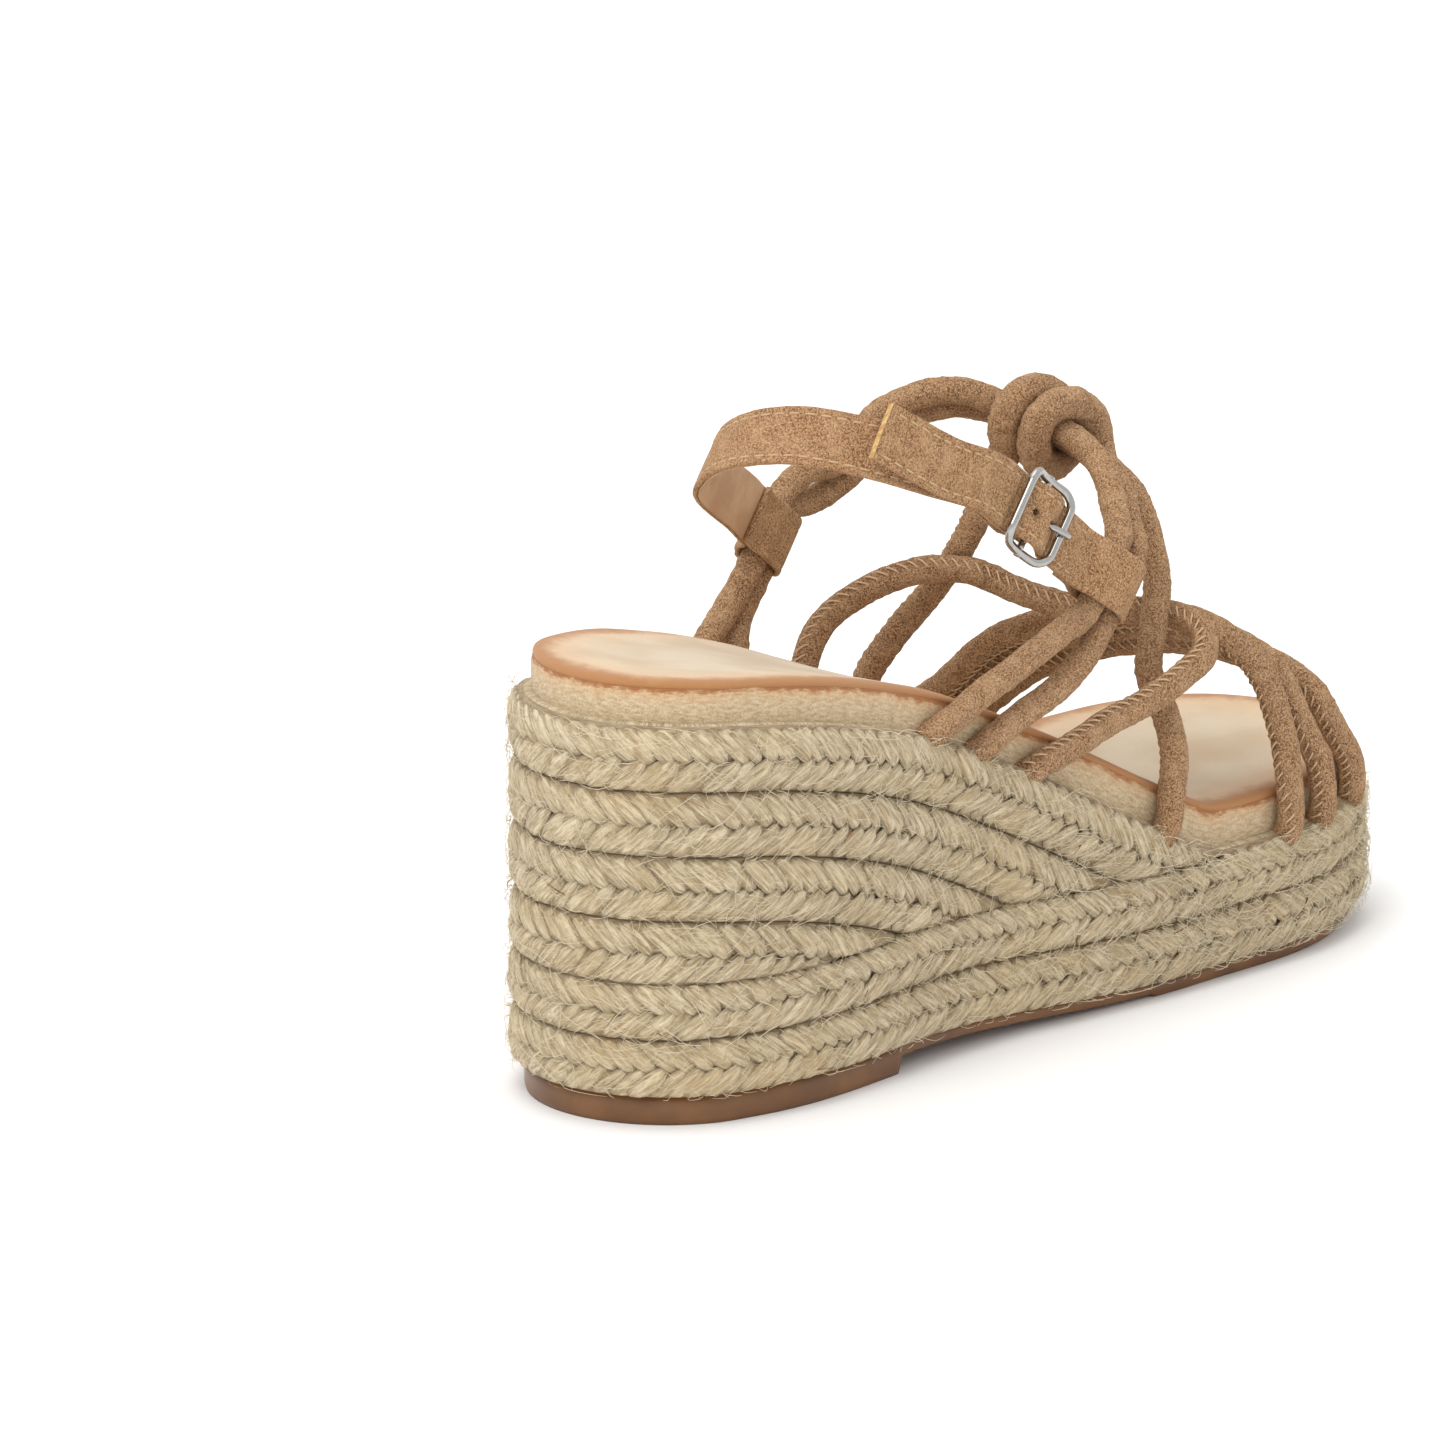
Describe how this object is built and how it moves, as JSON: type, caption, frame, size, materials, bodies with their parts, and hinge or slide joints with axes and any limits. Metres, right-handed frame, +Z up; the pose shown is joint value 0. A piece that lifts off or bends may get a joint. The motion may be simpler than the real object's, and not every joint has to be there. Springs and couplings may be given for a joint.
{
  "type": "wedge sandal",
  "caption": "Open espadrille wedge sandal with braided jute sole, rolled suede cords over the foot and a buckled heel strap.",
  "frame": {"origin": "on the floor, under the centre of the heel's round back", "axes": "+Y towards the toe, +X towards the outer side of the right foot, +Z up"},
  "size_m": [0.0879, 0.243, 0.1466],
  "materials": {
    "outsole_rubber": "satin, slightly see-through",
    "wedge_core": "matte cork",
    "jute": "hairy plaited yarn",
    "insole_board": "matte fibre board",
    "foam": "soft foam",
    "footbed_cover": "soft matte with a burnished edge",
    "side_fabric": "fine woven",
    "suede": "napped suede",
    "strap_lining": "smooth",
    "nickel": "polished nickel plate"
  },
  "bodies": {
    "root": {"outsole": "outsole_rubber", "wedge_core": "wedge_core", "platform_braid_lower": "jute", "platform_braid_upper": "jute", "wedge_braid_1": "jute", "wedge_braid_2": "jute", "wedge_braid_3": "jute", "wedge_braid_4": "jute", "insole_board": "insole_board", "footbed_foam": "foam", "footbed_top_cover": "footbed_cover", "footbed_side_wrap": "side_fabric", "rear_cord_back": "suede", "rear_cord_front": "suede", "knot_cord": "suede", "arch_cord": "suede", "toe_cord_rear": "suede", "toe_cord_middle": "suede", "toe_cord_front": "suede", "medial_loop": "suede", "lateral_loop": "suede"},
    "heel_strap": {"heel_strap": "suede", "heel_strap_lining": "strap_lining", "buckle_chape": "suede", "billet": "suede", "billet_lining": "strap_lining"},
    "buckle": {"buckle_frame": "nickel", "buckle_centre_bar": "nickel"},
    "prong": {"buckle_prong": "nickel"},
    "billet_tip": {"billet_tip": "suede", "billet_tip_lining": "strap_lining"}
  },
  "joints": [
    {"name": "heel_strap_swing", "type": "hinge", "parent": "root", "child": "heel_strap", "pos_m": [0.0025, 0.07952, 0.10435], "axis": [0.8794, 0.4717, -0.0641], "range_deg": [-35, 28]},
    {"name": "buckle_tilt", "type": "hinge", "parent": "heel_strap", "child": "buckle", "pos_m": [0.0344, 0.08, 0.11472], "axis": [0, -0.6115, -0.7912], "range_deg": [-4, 4], "stiffness_Nm_per_rad": 0.004},
    {"name": "prong_lift", "type": "hinge", "parent": "buckle", "child": "prong", "pos_m": [0.0344, 0.08, 0.11472], "axis": [0, -0.6115, -0.7912], "range_deg": [0, 18]},
    {"name": "billet_tip_lift", "type": "hinge", "parent": "heel_strap", "child": "billet_tip", "pos_m": [0.03484, 0.07177, 0.12108], "axis": [0, 0.6115, 0.7912], "range_deg": [0, 35], "stiffness_Nm_per_rad": 0.004}
  ]
}
